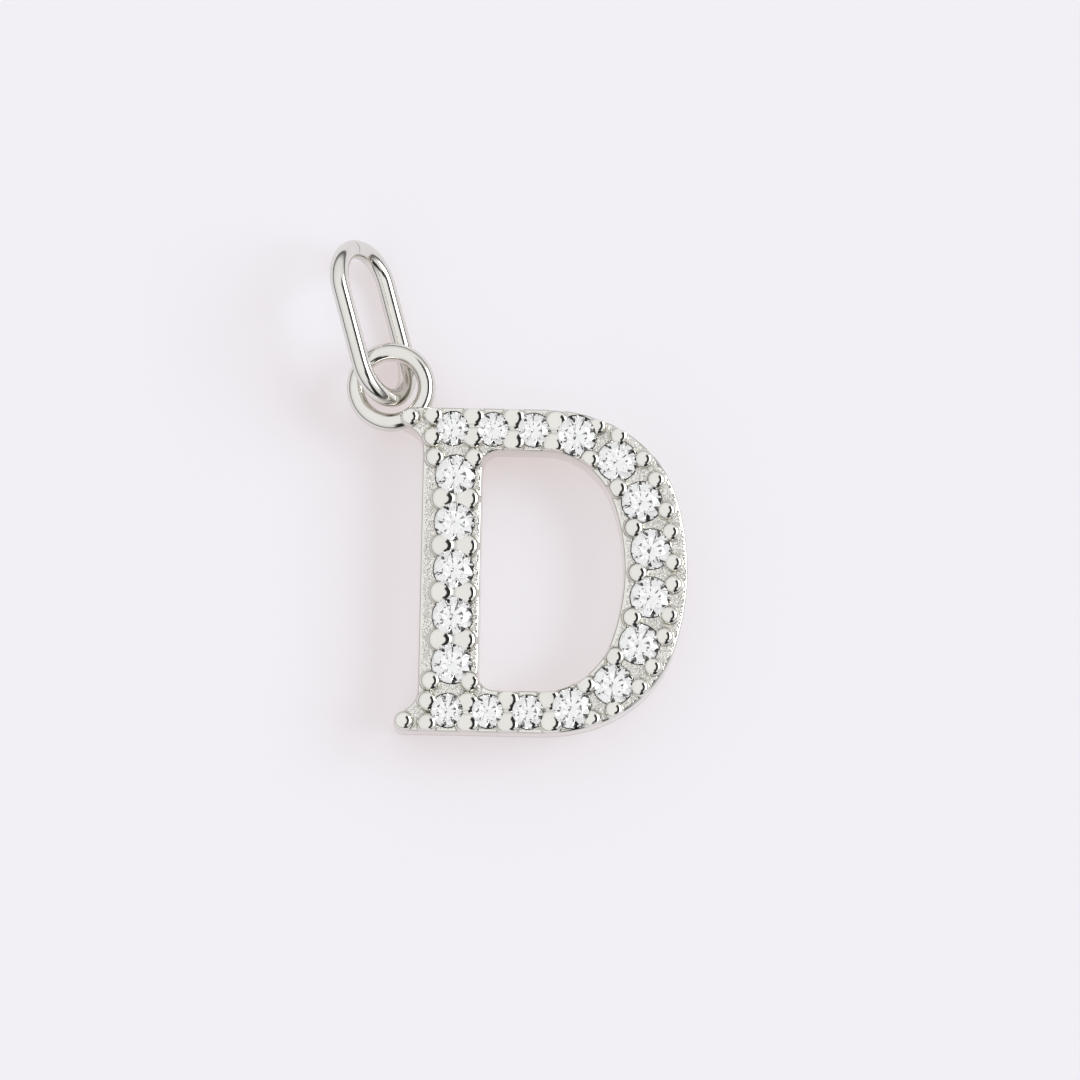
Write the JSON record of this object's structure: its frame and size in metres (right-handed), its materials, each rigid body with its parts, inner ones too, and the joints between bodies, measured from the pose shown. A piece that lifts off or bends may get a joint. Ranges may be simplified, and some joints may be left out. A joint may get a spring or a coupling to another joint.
{
  "type": "initial pendant",
  "caption": "Small pavé-set silver pendant in the form of a serif letter D, with a flat loop at its corner and an oval jump ring for a chain; it lies on its back.",
  "frame": {"origin": "bottom centre of the whole pendant's box, on the surface that it lies on", "axes": "+X across the letter to its bowl, +Y up the letter towards its loop and ring, +Z out of its face"},
  "size_m": [0.0108, 0.0148, 0.0025],
  "materials": {
    "silver_casting": "cast sterling silver: fine grain on the face, polished beads, walls and loop",
    "silver_wire": "polished drawn sterling silver wire",
    "clear_stone": "clear cubic zirconia, polished facets"
  },
  "bodies": {
    "root": {"letter_setting": "silver_casting", "jump_ring": "silver_wire", "stem_stone_1": "clear_stone", "stem_stone_2": "clear_stone", "stem_stone_3": "clear_stone", "stem_stone_4": "clear_stone", "stem_stone_5": "clear_stone", "top_bar_stone_1": "clear_stone", "top_bar_stone_2": "clear_stone", "top_bar_stone_3": "clear_stone", "bowl_stone_1": "clear_stone", "bowl_stone_2": "clear_stone", "bowl_stone_3": "clear_stone", "bowl_stone_4": "clear_stone", "bowl_stone_5": "clear_stone", "bowl_stone_6": "clear_stone", "bowl_stone_7": "clear_stone", "bowl_stone_8": "clear_stone", "bottom_bar_stone_1": "clear_stone", "bottom_bar_stone_2": "clear_stone", "bottom_bar_stone_3": "clear_stone"}
  },
  "joints": []
}
